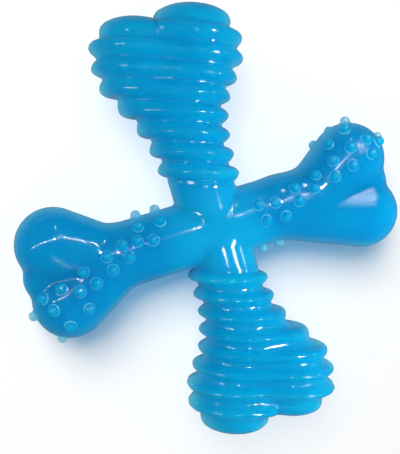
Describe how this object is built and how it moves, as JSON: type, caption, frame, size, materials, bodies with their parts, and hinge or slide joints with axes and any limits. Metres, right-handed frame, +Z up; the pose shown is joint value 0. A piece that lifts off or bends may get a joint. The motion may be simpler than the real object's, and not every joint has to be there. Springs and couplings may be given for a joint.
{
  "type": "puppy chew bone",
  "caption": "Soft translucent chew toy shaped as two crossed bones: one ribbed from neck to knuckles, the other with raised nubs on its shaft and on one knuckle of each pair.",
  "frame": {"origin": "under the middle of the crossing, on the surface that the chew lies on", "axes": "+X along the nubbed bone, +Y along the ribbed bone, +Z up through the thickness"},
  "size_m": [0.12, 0.1312, 0.0262],
  "materials": {
    "blue_tpe": "glossy moulded thermoplastic rubber, translucent blue"
  },
  "bodies": {
    "root": {"nubbed_bone": "blue_tpe", "ribbed_bone": "blue_tpe"}
  },
  "joints": []
}
